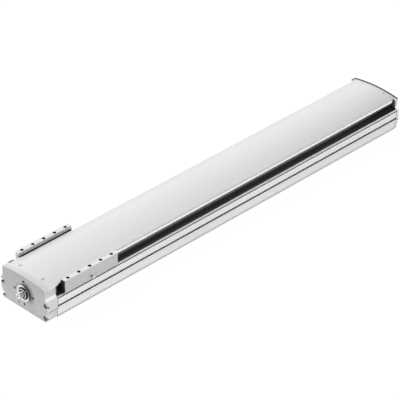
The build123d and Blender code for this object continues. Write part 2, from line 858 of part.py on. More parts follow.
with BuildPart() as bar_end_plate:
    with BuildSketch(section_at(carriage_start)):
        with BuildLine():
            Polyline(
                (-(bar_outer - 0.6), bar_bottom + 1),
                (-(bar_outer - 0.6), bar_top - 0.6),
                (-(bar_inner + 0.3), bar_top - 0.6),
                (-(bar_inner + 0.3), bar_head_bottom),
                (-(bar_web_inner + 0.3), bar_head_bottom),
                (-(bar_web_inner + 0.3), arm_top - 0.3),
                (-end_plate_inner, arm_top - 0.3),
                (-end_plate_inner, plate_bottom + 0.3),
                (-(arm_half_width + 0.3), plate_bottom + 0.3),
                (-(arm_half_width + 0.3), bar_bottom + 1),
                close=True,
            )
        make_face()
    extrude(amount=-end_plate_thickness)
finish(bar_end_plate, "bar_end_plate")

# Grease nipples and plugs
nipple_reach = 10.0

with BuildPart() as lube_nipples:
    for side in (-1, 1):
        face = Plane(origin=(0, side * bar_outer, 0), x_dir=(1, 0, 0), z_dir=(0, -1, 0))
        for radius, inner, outer in ((2.8, -4.5, 0), (3.6, 0, 3), (2.4, 3, 7), (3.1, 7, nipple_reach)):
            with BuildSketch(face.offset(-side * inner)):
                with Locations((carriage_x, port_height)):
                    Circle(radius)
            extrude(amount=-side * (outer - inner))
finish(lube_nipples, "lube_nipples")

with BuildPart() as port_plugs:
    for side in (-1, 1):
        with BuildSketch(Plane(origin=(0, side * bar_outer, 0), x_dir=(1, 0, 0), z_dir=(0, -1, 0))):
            with Locations((carriage_x - plug_offset, plug_height), (carriage_x + plug_offset, plug_height)):
                Circle(plug_radius - 0.1)
        extrude(amount=side * (port_depth - 0.5))
    # Recess the plugs a little behind the bar's face
    for side in (-1, 1):
        with BuildSketch(Plane(origin=(0, side * bar_outer, 0), x_dir=(1, 0, 0), z_dir=(0, -1, 0))):
            with Locations((carriage_x, plug_height)):
                Rectangle(4 * plug_offset, 8)
        extrude(amount=side * 0.6, mode=Mode.SUBTRACT)
finish(port_plugs, "port_plugs")

# Guide blocks on the rails, and their plastic ends
block_length = 52.0
block_end_length = 8.0
block_half_width = 22.0
block_bottom = 55.0
rail_clearance = 0.4


def block_face():
    """Section of a guide block: a saddle over each rail."""
    with BuildSketch() as face:
        for side in (-1, 1):
            with Locations((side * rail_offset, (plate_bottom + block_bottom) / 2)):
                Rectangle(2 * block_half_width, plate_bottom - block_bottom)
            saddle_top = rail_seat_height + rail_height + rail_clearance
            with Locations((side * rail_offset, saddle_top)):
                Rectangle(20 + 2 * rail_clearance, 20, align=(Align.CENTER, Align.MAX), mode=Mode.SUBTRACT)
    return face.sketch_local


with BuildPart() as runner_blocks:
    for bx in block_x:
        with BuildSketch(section_at(carriage_x + bx - block_length / 2)):
            add(block_face())
        extrude(amount=block_length)
    with BuildSketch(Plane.XY.offset(plate_bottom)):
        with Locations(*block_screw_places):
            Circle(2.5)
    extrude(amount=-8, mode=Mode.SUBTRACT)
finish(runner_blocks, "runner_blocks")

with BuildPart() as runner_ends:
    for bx in block_x:
        for start in (-block_length / 2 - block_end_length, block_length / 2):
            with BuildSketch(section_at(carriage_x + bx + start)):
                add(block_face())
            extrude(amount=block_end_length)
    # The plastic ends stand back from the plate
    with BuildSketch(Plane.XY.offset(plate_bottom)):
        with Locations((carriage_x, 0)):
            Rectangle(2 * carriage_length, 2 * half_width)
    extrude(amount=-0.6, mode=Mode.SUBTRACT)
finish(runner_ends, "runner_ends")

# Ball nut and the housing that hangs it under the plate
nut_radius = 18.0
nut_half_length = 35.0
flange_radius = 27.0
flange_end = 24.0
housing_half_width = 28.0
housing_bottom = 30.0
nut_screw_circle = 22.5
nut_head_radius = 3.9

with BuildPart() as nut_housing:
    with BuildSketch(section_at(carriage_x + housing_start)):
        with Locations((0, (housing_bottom + plate_bottom) / 2)):
            Rectangle(2 * housing_half_width, plate_bottom - housing_bottom)
        with Locations((0, screw_axis_height)):
            Circle(nut_radius, mode=Mode.SUBTRACT)
    extrude(amount=housing_end - housing_start)
    with BuildSketch(section_at(carriage_x + housing_end)):
        with Locations((0, screw_axis_height)):
            with PolarLocations(nut_screw_circle, 4, start_angle=45):
                Circle(2.5)
    extrude(amount=-12, mode=Mode.SUBTRACT)
    with BuildSketch(Plane.XY.offset(plate_bottom)):
        with Locations(*housing_screw_places):
            Circle(2.5)
    extrude(amount=-12, mode=Mode.SUBTRACT)
finish(nut_housing, "nut_housing")

with BuildPart() as ball_nut:
    with BuildSketch(section_at(carriage_x - nut_half_length)):
        with Locations((0, screw_axis_height)):
            Circle(nut_radius)
    extrude(amount=2 * nut_half_length)
    with BuildSketch(section_at(carriage_x + housing_end)):
        with Locations((0, screw_axis_height)):
            Circle(flange_radius)
    extrude(amount=flange_end - housing_end)
    # Flat on the flange below the plate, and the holes of its screws
    with BuildSketch(section_at(carriage_x + housing_end)):
        with Locations((0, plate_bottom - 0.5)):
            Rectangle(2 * flange_radius, 20, align=(Align.CENTER, Align.MIN))
        with Locations((0, screw_axis_height)):
            with PolarLocations(nut_screw_circle, 4, start_angle=45):
                Circle(2.75)
    extrude(amount=flange_end - housing_end, mode=Mode.SUBTRACT)
    with BuildSketch(section_at(carriage_x - nut_half_length)):
        with Locations((0, screw_axis_height)):
            Circle(spindle_radius + running_gap)
    extrude(amount=2 * nut_half_length, mode=Mode.SUBTRACT)
finish(ball_nut, "ball_nut")

# Screws of the carriage
with BuildPart() as nut_screws:
    with BuildSketch(section_at(carriage_x + flange_end)):
        with Locations((0, screw_axis_height)):
            with PolarLocations(nut_screw_circle, 4, start_angle=45):
                Circle(nut_head_radius)
    extrude(amount=3)
    with BuildSketch(section_at(carriage_x + flange_end)):
        with Locations((0, screw_axis_height)):
            with PolarLocations(nut_screw_circle, 4, start_angle=45):
                Circle(2.4)
    extrude(amount=-(flange_end - housing_end + 10))
finish(nut_screws, "nut_screws")

with BuildPart() as plate_screws:
    with BuildSketch(Plane.XY.offset(plate_top - 5.6)):
        with Locations(*block_screw_places, *housing_screw_places):
            Circle(plate_head_radius)
    extrude(amount=plate_head_height)
    with BuildSketch(Plane.XY.offset(plate_top - 5.6)):
        with Locations(*block_screw_places, *housing_screw_places):
            Circle(2.4)
    extrude(amount=-(plate_top - 5.6 - plate_bottom + 6.5))
finish(plate_screws, "plate_screws")

with BuildPart() as bar_screws:
    with BuildSketch(Plane.XY.offset(plate_bottom)):
        with Locations(*bar_screw_places):
            Circle(plate_head_radius - 0.15)
    extrude(amount=-plate_head_height + 0.5)
    with BuildSketch(Plane.XY.offset(plate_bottom)):
        with Locations(*bar_screw_places):
            Circle(2.4)
    extrude(amount=arm_top - plate_bottom + bar_thread_depth - 1)
finish(bar_screws, "bar_screws")
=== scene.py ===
import json
import math

import bmesh
import bpy
from mathutils import Matrix, Vector


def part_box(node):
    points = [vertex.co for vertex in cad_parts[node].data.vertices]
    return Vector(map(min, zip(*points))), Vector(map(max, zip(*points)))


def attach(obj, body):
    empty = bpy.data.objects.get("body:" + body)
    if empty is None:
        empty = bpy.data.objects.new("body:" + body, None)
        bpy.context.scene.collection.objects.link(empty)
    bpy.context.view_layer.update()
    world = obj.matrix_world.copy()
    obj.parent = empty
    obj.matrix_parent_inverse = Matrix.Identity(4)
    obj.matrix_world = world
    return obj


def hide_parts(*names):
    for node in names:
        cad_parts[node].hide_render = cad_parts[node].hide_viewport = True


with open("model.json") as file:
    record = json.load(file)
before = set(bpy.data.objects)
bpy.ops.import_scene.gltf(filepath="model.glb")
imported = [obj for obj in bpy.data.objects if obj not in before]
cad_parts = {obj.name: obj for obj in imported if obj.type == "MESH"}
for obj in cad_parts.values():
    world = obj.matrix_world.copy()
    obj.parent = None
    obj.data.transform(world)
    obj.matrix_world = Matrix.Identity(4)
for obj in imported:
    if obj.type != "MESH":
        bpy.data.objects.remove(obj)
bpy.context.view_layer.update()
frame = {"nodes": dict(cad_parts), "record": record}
nodes = frame["nodes"]


# Camera of the photograph: place, direction and lens fitted to the long edges and the hole rows
CAMERA_PLACE = (-4.0715, -4.0458, 3.7745)
CAMERA_AZIMUTH = math.radians(-44.95)
CAMERA_ELEVATION = math.radians(33.12)
CAMERA_LENS = 213.41
CAMERA_SENSOR = 36
CAMERA_NEAREST = 0.1
CAMERA_FARTHEST = 60


def set_camera():
    """Put the camera where the photograph was taken from."""
    data = bpy.data.cameras.new("photo_camera")
    data.sensor_width = CAMERA_SENSOR
    data.lens = CAMERA_LENS
    data.clip_start = CAMERA_NEAREST
    data.clip_end = CAMERA_FARTHEST
    camera = bpy.data.objects.new("photo_camera", data)
    right = Vector((math.cos(CAMERA_AZIMUTH), math.sin(CAMERA_AZIMUTH), 0))
    back = Vector((
        math.sin(CAMERA_AZIMUTH) * math.cos(CAMERA_ELEVATION),
        -math.cos(CAMERA_AZIMUTH) * math.cos(CAMERA_ELEVATION),
        math.sin(CAMERA_ELEVATION),
    ))
    turn = Matrix((right, back.cross(right), back)).transposed()
    camera.matrix_world = Matrix.Translation(CAMERA_PLACE) @ turn.to_4x4()
    bpy.context.scene.collection.objects.link(camera)
    bpy.context.scene.camera = camera


# Shader writing
MASK_EDGE = 0.0001
# The Mix node's sockets for colours
MIX_FACTOR, MIX_FIRST, MIX_SECOND, MIX_RESULT = 0, 6, 7, 2


class Signal:
    """A node's output that takes part in plain maths."""

    def __init__(self, finish, socket):
        self.finish = finish
        self.socket = socket

    def __add__(self, other):
        return self.finish.function("ADD", self, other)

    def __radd__(self, other):
        return self.finish.function("ADD", other, self)

    def __sub__(self, other):
        return self.finish.function("SUBTRACT", self, other)

    def __rsub__(self, other):
        return self.finish.function("SUBTRACT", other, self)

    def __mul__(self, other):
        return self.finish.function("MULTIPLY", self, other)

    def __rmul__(self, other):
        return self.finish.function("MULTIPLY", other, self)

    def __truediv__(self, other):
        return self.finish.function("DIVIDE", self, other)


class Finish:
    """A material under construction."""

    def __init__(self, name, **shader):
        self.material = bpy.data.materials.new(name)
        self.material.use_nodes = True
        self.tree = self.material.node_tree
        self.tree.nodes.clear()
        self.output = self.tree.nodes.new("ShaderNodeOutputMaterial")
        self.surface = self.tree.nodes.new("ShaderNodeBsdfPrincipled")
        self.tree.links.new(self.surface.outputs[0], self.output.inputs["Surface"])
        self.set(**shader)

    def feed(self, socket, value):
        """Link a signal into a socket, or set a plain value on it."""
        if isinstance(value, Signal):
            self.tree.links.new(value.socket, socket)
        elif isinstance(value, tuple) and len(value) == 3 and socket.type == "RGBA":
            socket.default_value = (*value, 1.0)
        else:
            socket.default_value = value

    def set(self, **sockets):
        """Values or signals for the surface shader's sockets; an underscore stands for a space."""
        for name, value in sockets.items():
            self.feed(self.surface.inputs[name.replace("_", " ")], value)

    def node(self, kind, settings=None, inputs=None, output=0):
        """A node with its settings made first, then its sockets' values or links."""
        made = self.tree.nodes.new(kind)
        for name, value in (settings or {}).items():
            setattr(made, name, value)
        for name, value in (inputs or {}).items():
            self.feed(made.inputs[name], value)
        return Signal(self, made.outputs[output])

    def function(self, operation, *values):
        """A Math node named by its operation."""
        return self.node("ShaderNodeMath", {"operation": operation}, dict(enumerate(values)))

    def noise(self, scale, stretch=(1, 1, 1), detail=2.0, roughness=0.5):
        """Noise over the object's metres, stretched along its axes."""
        where = self.node("ShaderNodeTexCoord", output="Object")
        stretched = self.node("ShaderNodeMapping", inputs={"Vector": where, "Scale": stretch})
        return self.node("ShaderNodeTexNoise", inputs={
            "Vector": stretched, "Scale": scale, "Detail": detail, "Roughness": roughness})

    def spot(self, name):
        """One coordinate of the object, in metres, named X, Y or Z."""
        where = self.node("ShaderNodeTexCoord", output="Object")
        return self.node("ShaderNodeSeparateXYZ", inputs={0: where}, output=name)

    def side(self):
        """Distance from the upright middle plane of the object."""
        return self.function("ABSOLUTE", self.spot("Y"))

    def reach(self, across, up):
        """Distance from an axis, given the two steps away from it."""
        return self.function("SQRT", across * across + up * up)

    def limits(self, value, low, high, new_low=0.0, new_high=1.0):
        """A value taken from one range to another and held there."""
        return self.node("ShaderNodeMapRange", {"clamp": True}, {
            "Value": value, "From Min": low, "From Max": high, "To Min": new_low, "To Max": new_high})

    def fades(self, value, low, high):
        """One below a range, falling to nothing above it."""
        return self.limits(value, low, high, 1.0, 0.0)

    def inside(self, value, low, high, edge=MASK_EDGE):
        """One where a value lies between two limits, with a soft edge."""
        return self.limits(value, low - edge, low) * self.fades(value, high, high + edge)

    def mix(self, factor, first, second):
        """Two colours mixed."""
        return self.node("ShaderNodeMix", {"data_type": "RGBA"}, {
            MIX_FACTOR: factor, MIX_FIRST: first, MIX_SECOND: second}, output=MIX_RESULT)

    def mottle(self, share, level, below, above):
        """A grey that wanders a few levels below and above its own."""
        return self.mix(share, grey(level - below), grey(level + above))

    def seen_rays(self):
        """One for rays that show the background: straight, mirrored or through glass."""
        straight = self.node("ShaderNodeLightPath", output="Is Camera Ray")
        mirrored = self.node("ShaderNodeLightPath", output="Is Glossy Ray")
        through = self.node("ShaderNodeLightPath", output="Is Transmission Ray")
        return self.limits(straight + mirrored + through, 0.0, 1.0)

    def bump(self, height, distance):
        """Surface relief in metres for the normal."""
        return self.node("ShaderNodeBump", inputs={
            "Height": height, "Distance": distance, "Strength": 1.0})


def grey(level):
    """A linear grey colour from its level as it renders, 0 to 255, by the screen's standard curve."""
    share = level / 255
    linear = ((share + 0.055) / 1.055) ** 2.4 if share > 0.04045 else share / 12.92
    return (linear, linear, linear)


def wander(roughness, spread, share):
    """Roughness that varies by a spread round its value."""
    return roughness - spread / 2 + spread * share


# Places that the CAD nodes give, in metres: X along the axis, Y across it, Z up
CAP_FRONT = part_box("drive_cap")[0][0]
PROFILE_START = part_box("base_profile")[0][0]
PROFILE_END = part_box("base_profile")[1][0]
SHAFT_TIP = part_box("spindle")[0][0]
BAR_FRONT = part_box("bar_right")[0][0]
BAR_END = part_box("bar_right")[1][0]
BAR_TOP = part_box("bar_right")[1][2]
BAR_END_CHAMFER = 0.0021
CARRIAGE_X = (BAR_FRONT + BAR_END) / 2
SCREW_AXIS_HEIGHT = 0.055


def from_front(low, high):
    """A range along the axis, from two distances behind the front of the drive cap."""
    return CAP_FRONT + low, CAP_FRONT + high


# Ranges of the faces that are painted darker or lighter, most of them as painted shade or painted light:
# a height is in Z, a side is a distance from the middle plane, a length is in X, and across is in Y
T_SLOT_HEIGHT, T_SLOT_SIDE = (0.03665, 0.0432), (0.0788, 0.0790)
GROOVE_HEIGHT, GROOVE_SIDE = (0.0620, 0.0670), (0.0850, 0.0936)
WAIST_HEIGHT, WAIST_SIDE, WAIST_EDGE, WAIST_SHARE = (0.0280, 0.0312), (0.0895, 0.0897), 0.0008, 0.5
FOOT_HEIGHT, FOOT_SIDE = (0.0076, 0.0080), (0.0880, 0.0882)
LEDGE_HEIGHT = (0.0668, 0.0669)
JOINT_WIDTH, JOINT_LAP = 0.0014, 0.0001
CROWN_HEIGHT = (0.1036, 0.1039)
END_SHADE_LENGTH, END_SHADE_ACROSS, END_SHADE_SHARE = (-0.2, 0.7), (0.01, -0.078), 0.56
FRONT_STRIP_LENGTH = from_front(0.0165, 0.0205)
LEFT_EDGE_ACROSS = (0.048, 0.074)
STEP_HEIGHT, STEP_SIDE = (0.0984, 0.1037), (0.0770, 0.0778)
LIP_FOOT_HEIGHT, LIP_HEAD_HEIGHT, LIP_SIDE = (0.09812, 0.09816), (0.0984, 0.0985), (0.0777, 0.0862)
LIP_EDGE_HEIGHT, LIP_EDGE_SIDE = (0.0960, 0.0981), (0.0858, 0.0859)
FILLET_HEIGHT, FILLET_SIDE, FILLET_EDGE = (0.0685, 0.0780), (0.0864, 0.0872), 0.002
CAP_WAIST_HEIGHT, CAP_WAIST_SIDE, CAP_WAIST_EDGE = (0.0314, 0.0344), (0.0899, 0.0900), 0.0006
CAP_WAIST_LENGTH, CAP_WAIST_SHARE = from_front(0.001, 0.01), 0.8
CAP_SHADED_HEIGHT = (0.02, 0.09)

# Mounting holes of the bars
HOLE_ROW = 0.0935
HOLE_PITCH = 0.040
HOLES_FROM_MIDDLE = 2
HOLE_EDGE = 0.0051
MIDDLE_HOLE_EXTRA = 0.0003
HOLE_HEIGHT = (0.095, 0.096)

# Painted shadow round the collar: its reach, its sector and the sector's direction, up and to the right
COLLAR_SHADOW_REACH, COLLAR_SHADOW_SECTOR, COLLAR_SHADOW_LENGTH = (0.025, 0.044), (0.1, 0.8), from_front(0.0002, 0.0004)
COLLAR_SHADOW_UP, COLLAR_SHADOW_RIGHT = 0.5, 0.87

# Screw pockets of the drive cap: the screws' sides and heights, and the painted shade on their walls and
# under their openings
CAP_SCREWS = ((0.087, 0.054), (0.084, 0.013))
WALL_REACH, WALL_SIDE, WALL_LENGTH = (0.0072, 0.0077), (0.0933, 0.0934), from_front(0.0003, 0.0042)
POCKET_SHADE_HEIGHTS = ((0.0474, 0.0501), (0.0040, 0.0064))
POCKET_SHADE_SIDE, POCKET_SHADE_LENGTH, POCKET_SHADE_EDGE = (0.0895, 0.0897), from_front(0.0022, 0.0080), 0.0006

# Holes in the front of the drive cap: across, height and radius of the motor's four and of two small ones
FRONT_HOLES = (
    (0, 0.092, 0.0034), (0, 0.018, 0.0034), (0.037, 0.055, 0.0034), (-0.037, 0.055, 0.0034),
    (0.0225, 0.0145, 0.0021), (0.029, 0.07, 0.0012))
FRONT_HOLE_RIM = (0.0003, 0.0004)
FRONT_HOLE_LENGTH = from_front(0.03, 0.031)

# Cover screws at the drive end
COVER_SCREW_RADIUS = 0.0038
COVER_SCREWS = [(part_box("cover_screws")[0][0] + COVER_SCREW_RADIUS, y) for y in (-0.046, 0.046)]
COVER_SCREW_RIM = (-0.0008, 0.001)


# Masks: each is one on the places it names and nothing elsewhere
def slot_shade(finish):
    """Inside the T-slots of the profile, where no light reaches."""
    return finish.inside(finish.spot("Z"), *T_SLOT_HEIGHT) * finish.limits(finish.side(), *T_SLOT_SIDE)


def groove_shade(finish):
    """Inside the sensor grooves of the profile."""
    return finish.inside(finish.spot("Z"), *GROOVE_HEIGHT) * finish.inside(finish.side(), *GROOVE_SIDE)


def waist_shade(finish):
    """Soft line along the waist under the T-slots."""
    line = finish.inside(finish.spot("Z"), *WAIST_HEIGHT, WAIST_EDGE)
    return line * finish.limits(finish.side(), *WAIST_SIDE, 0.0, WAIST_SHARE)


def foot_shade(finish):
    """The faces that slant in towards the foot of the profile."""
    return finish.fades(finish.spot("Z"), *FOOT_HEIGHT) * finish.limits(finish.side(), *FOOT_SIDE)


def ledge_painted_light(finish):
    """Painted light on the ledges along the side slots, which the cover's lips shade from the lamps."""
    return finish.limits(finish.spot("Z"), *LEDGE_HEIGHT)


def joint_shade(finish):
    """The fine grooves where the caps meet the profile."""
    along = finish.spot("X")
    return (finish.inside(along, PROFILE_START - JOINT_WIDTH, PROFILE_START + JOINT_LAP)
            + finish.inside(along, PROFILE_END - JOINT_LAP, PROFILE_END + JOINT_WIDTH))


def end_shade(finish):
    """Painted shade on the right edge of the crown towards its far end, standing in for a dark reflection.
    """
    crown = finish.limits(finish.spot("Z"), *CROWN_HEIGHT)
    along = finish.limits(finish.spot("X"), *END_SHADE_LENGTH, 0.0, END_SHADE_SHARE)
    return crown * along * finish.limits(finish.spot("Y"), *END_SHADE_ACROSS)


def front_tint(finish):
    """A darker strip of the crown along the drive end."""
    return finish.fades(finish.spot("X"), *FRONT_STRIP_LENGTH)


def far_edge_shade(finish):
    """Painted shade, rising towards the left edge of the crown."""
    return finish.limits(finish.spot("Y"), *LEFT_EDGE_ACROSS)


def step_shade(finish):
    """Painted shade on the side faces of the cover, between its crown and its lips."""
    return finish.inside(finish.side(), *STEP_SIDE) * finish.inside(finish.spot("Z"), *STEP_HEIGHT)


def lip_painted_light(finish):
    """Painted light on the upper faces of the cover's lips, which the crown's edge shades from the lamps.
    """
    up = finish.spot("Z")
    return (finish.limits(up, *LIP_FOOT_HEIGHT) * finish.inside(finish.side(), *LIP_SIDE)
            * finish.fades(up, *LIP_HEAD_HEIGHT))


def lip_edge_shade(finish):
    """The narrow outer faces of the cover's lips."""
    return finish.inside(finish.spot("Z"), *LIP_EDGE_HEIGHT) * finish.limits(finish.side(), *LIP_EDGE_SIDE)


def hole_shade(finish):
    """Painted shade in the threaded holes of the bars and on a rim round their edges, wider round the
    middle ones.
    """
    from_middle = finish.spot("X") - CARRIAGE_X
    along = finish.function("WRAP", from_middle, HOLE_PITCH / 2, -HOLE_PITCH / 2)
    reach = finish.reach(along, finish.side() - HOLE_ROW)
    middle = finish.inside(from_middle, -HOLE_PITCH / 2, HOLE_PITCH / 2)
    hole = finish.fades(reach - middle * MIDDLE_HOLE_EXTRA, HOLE_EDGE, HOLE_EDGE + MASK_EDGE)
    return hole * finish.limits(finish.spot("Z"), *HOLE_HEIGHT)


def fillet_painted_highlight(finish):
    """Painted highlight on the hollow fillets along the sides of the caps."""
    return (finish.limits(finish.side(), *FILLET_SIDE)
            * finish.inside(finish.spot("Z"), *FILLET_HEIGHT, FILLET_EDGE))


def collar_painted_shadow(finish):
    """Painted shadow: soft dimming of the drive cap's front beside the collar, which stands proud of it.
    """
    across = finish.spot("Y")
    up = finish.spot("Z") - SCREW_AXIS_HEIGHT
    reach = finish.reach(across, up)
    sector = finish.limits((up * COLLAR_SHADOW_UP - across * COLLAR_SHADOW_RIGHT) / reach, *COLLAR_SHADOW_SECTOR)
    return finish.fades(reach, *COLLAR_SHADOW_REACH) * sector * finish.fades(finish.spot("X"), *COLLAR_SHADOW_LENGTH)


def pocket_edge_shade(finish):
    """Painted shade on the edges under the openings of the screw pockets in the sides of the drive cap."""
    up = finish.spot("Z")
    height = finish.inside(up, *POCKET_SHADE_HEIGHTS[0]) + finish.inside(up, *POCKET_SHADE_HEIGHTS[1])
    along = finish.inside(finish.spot("X"), *POCKET_SHADE_LENGTH, POCKET_SHADE_EDGE)
    return height * finish.limits(finish.side(), *POCKET_SHADE_SIDE) * along


def cap_waist_shade(finish):
    """A painted shade line along the sides of the caps, level with the waist of the profile."""
    line = finish.inside(finish.spot("Z"), *CAP_WAIST_HEIGHT, CAP_WAIST_EDGE)
    along = finish.limits(finish.spot("X"), *CAP_WAIST_LENGTH, 0.0, CAP_WAIST_SHARE)
    return line * finish.limits(finish.side(), *CAP_WAIST_SIDE) * along


def pocket_wall_shade(finish):
    """Painted shade on the walls of the screw pockets at the drive end, near their mouths."""
    side = finish.side()
    up = finish.spot("Z")
    wall = 0
    for screw_side, screw_height in CAP_SCREWS:
        wall = finish.inside(finish.reach(side - screw_side, up - screw_height), *WALL_REACH) + wall
    return wall * finish.fades(side, *WALL_SIDE) * finish.inside(finish.spot("X"), *WALL_LENGTH)


def flange_shade(finish):
    """The holes in the front of the drive cap, and the joint grooves."""
    across = finish.spot("Y")
    up = finish.spot("Z")
    start, full = FRONT_HOLE_RIM
    shade = 0
    for hole_across, hole_height, radius in FRONT_HOLES:
        reach = finish.reach(across - hole_across, up - hole_height)
        shade = finish.fades(reach, radius + start, radius + full) + shade
    shade = shade * finish.fades(finish.spot("X"), *FRONT_HOLE_LENGTH)
    return finish.function("MAXIMUM", shade, joint_shade(finish))


# Finishes
FACE_EDGE, FACE_CLEAR = 0.0001, 0.001
SHADE_GREY, SHADE_SHARE = 120, 0.06
SHADE_ROUGHNESS = 0.4
ROUGHNESS_SPREAD, CLOUD_SPREAD, GRAIN_SPREAD = 0.12, 0.1, 0.16
CLOUD_RANGE = (0.3, 0.7)
DUST_RANGE = (0.45, 0.8)
LINES_SHARE, FINE_SHARE, CLOUDS_SHARE = 0.55, 0.2, 0.25
LINES_HEIGHT, FINE_HEIGHT = 0.5, 0.3
# Depth of the relief that a full step of the noise stands for
LINES_RELIEF, MARKS_RELIEF, RINGS_RELIEF, GRAIN_RELIEF = 0.00002, 0.000015, 0.000004, 0.00001
RINGS_PER_METRE = 2500
ANODISED_METAL = 0.5
MILLED_METAL, MILLED_ROUGHNESS = 0.35, 0.4
# Painted shade on turned faces: a sector for their uneven reflection and its direction, up and to the
# right, the shade in and round the shaft's centre hole, and the shade on the walls of the collar and nut
STEEL_SECTOR, STEEL_SECTOR_UP, STEEL_SECTOR_RIGHT = (0.4, 0.85), 0.55, 0.84
CENTRE_SHADE_GREY, CENTRE_HOLE_DEPTH = 40, (0.006, 0.007)
WALL_SHADE_GREY, WALL_EDGE, CENTRE_EDGE = 16, 0.0002, 0.0003
PLASTIC_GRAIN, PLASTIC_RELIEF = 2600.0, 0.00004
GUARD_END_LENGTH, GUARD_END_SHARE, GUARD_END_TONE = (0.48, 0.68), 0.85, 0.3
RIM_GREY = 20
NIPPLE_METAL = 0.5
NIPPLE_FOOT_SIDE, NIPPLE_FOOT_EDGE = 0.003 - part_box("bar_right")[0][1], 0.0002


def painted_face_light(finish, colour, shade, faces):
    """Colour with painted light and shade on single faces, each in its own level as the lamps light it:
    axis, range, and the foot's and the head's level.
    """
    for axis, low, high, foot_level, head_level in faces:
        where = finish.side() if axis == "side" else finish.spot(axis)
        up = finish.limits(finish.spot("Z"), *CAP_SHADED_HEIGHT)
        level = finish.mix(up, grey(foot_level), grey(head_level))
        face = finish.mix(shade * SHADE_SHARE, level, grey(SHADE_GREY))
        colour = finish.mix(finish.inside(where, low, high), colour, face)
    return colour


def shaded(finish, colour, rough, metallic, shades, lights):
    """Set colour, roughness and metal of a surface, with painted shade in dark places, made rougher and
    less metallic, and painted light in pale places, made less metallic.
    """
    metal = metallic
    for light_of, level in lights:
        light = light_of(finish)
        colour = finish.mix(light, colour, grey(level))
        metal = metal - light * metal
    for shade_of, level in shades:
        dark = shade_of(finish)
        colour = finish.mix(dark, colour, grey(level))
        rough = rough + dark * SHADE_ROUGHNESS
        metal = metal - dark * metal
    finish.set(Base_Color=colour, Roughness=rough, Metallic=metal)


def drawn_aluminium(name, level, end_level, roughness, tints=(), shades=(), lights=()):
    """Extruded and anodised aluminium: faint lines along the axis, soft clouds, and a level for each end,
    which paints the fall of light along the axis.
    """
    finish = Finish(name)
    lines = finish.noise(1.0, stretch=(1.5, 900, 900), detail=3.0, roughness=0.6)
    fine = finish.noise(1.0, stretch=(12, 3500, 3500))
    clouds = finish.noise(7.0, stretch=(0.25, 1, 1))
    shade = finish.limits(LINES_SHARE * lines + FINE_SHARE * fine + CLOUDS_SHARE * clouds, *CLOUD_RANGE)
    along = finish.limits(finish.spot("X"), PROFILE_START, PROFILE_END)
    colour = finish.mix(along, finish.mottle(shade, level, 5, 5), finish.mottle(shade, end_level, 5, 5))
    for tint_of, tint_level in tints:
        colour = finish.mix(tint_of(finish), colour, grey(tint_level))
    shaded(finish, colour, wander(roughness, ROUGHNESS_SPREAD, lines), ANODISED_METAL, shades, lights)
    finish.set(Normal=finish.bump(lines * LINES_HEIGHT + fine * FINE_HEIGHT, LINES_RELIEF))
    return finish.material


def milled_aluminium(name, level, shades=(), lights=(), faces=()):
    """Machined and anodised aluminium with short cutter marks."""
    finish = Finish(name)
    marks = finish.noise(1.0, stretch=(1800, 60, 1800))
    clouds = finish.noise(22.0, detail=3.0)
    shade = finish.limits(0.5 * marks + 0.5 * clouds, *CLOUD_RANGE)
    colour = painted_face_light(finish, finish.mottle(shade, level, 5, 4), shade, faces)
    shaded(finish, colour, wander(MILLED_ROUGHNESS, CLOUD_SPREAD, clouds), MILLED_METAL, shades, lights)
    finish.set(Normal=finish.bump(marks, MARKS_RELIEF))
    return finish.material


def turned_steel(name, level, roughness, metallic=0.9, low_level=None, wall_from=None, middle=None,
                 centre=None):
    """Turned steel: rings round the screw axis.

    low_level is for a sector of painted shade, for the uneven reflection of a turned face, wall_from and
    middle are where painted shade on the walls starts outside and inside, and centre is the tip and the
    radius of painted shade in and round a centre hole.
    """
    finish = Finish(name, Metallic=metallic)
    across = finish.spot("Y")
    up = finish.spot("Z") - SCREW_AXIS_HEIGHT
    reach = finish.reach(across, up)
    rings = finish.node("ShaderNodeTexNoise", {"noise_dimensions": "1D"}, {
        "W": reach * RINGS_PER_METRE, "Scale": 1.0, "Detail": 2.0})
    clouds = finish.noise(60.0)
    colour = finish.mottle(clouds, level, 5, 5)
    if low_level:
        turn = (up * STEEL_SECTOR_UP - across * STEEL_SECTOR_RIGHT) / reach
        sector = finish.limits(turn, *STEEL_SECTOR)
        colour = finish.mix(sector, colour, finish.mottle(clouds, low_level, 5, 5))
    if centre:
        tip, radius = centre
        start, end = CENTRE_HOLE_DEPTH
        hole = finish.fades(reach, radius, radius + CENTRE_EDGE)
        hole = hole * finish.fades(finish.spot("X"), tip + start, tip + end)
        colour = finish.mix(hole, colour, grey(CENTRE_SHADE_GREY))
    if wall_from:
        wall = finish.limits(reach, wall_from, wall_from + WALL_EDGE)
        if middle:
            wall = wall + finish.fades(reach, middle - WALL_EDGE, middle)
        colour = finish.mix(wall, colour, grey(WALL_SHADE_GREY))
        finish.set(Metallic=metallic - wall * metallic)
    finish.set(Base_Color=colour, Roughness=wander(roughness, ROUGHNESS_SPREAD, rings))
    finish.set(Normal=finish.bump(rings, RINGS_RELIEF))
    return finish.material


def plain_steel(name, level, roughness, metallic, along=(1, 1, 1)):
    """Ground or plated steel with a light grain."""
    finish = Finish(name, Metallic=metallic)
    grain = finish.noise(900.0, stretch=along)
    clouds = finish.noise(45.0, detail=3.0)
    finish.set(Base_Color=finish.mottle(clouds, level, 8, 6))
    finish.set(Roughness=wander(roughness, GRAIN_SPREAD, grain))
    finish.set(Normal=finish.bump(grain, GRAIN_RELIEF))
    return finish.material


def dark_plastic(name, level, roughness):
    """Moulded plastic or rubber with a fine grain."""
    finish = Finish(name, Metallic=0.0)
    grain = finish.noise(PLASTIC_GRAIN, detail=3.0)
    dust = finish.noise(30.0, stretch=(0.4, 1, 1), detail=4.0, roughness=0.6)
    finish.set(Base_Color=finish.mottle(finish.limits(dust, *DUST_RANGE), level, 0, 9))
    finish.set(Roughness=wander(roughness, ROUGHNESS_SPREAD, dust))
    finish.set(Normal=finish.bump(grain, PLASTIC_RELIEF))
    return finish.material


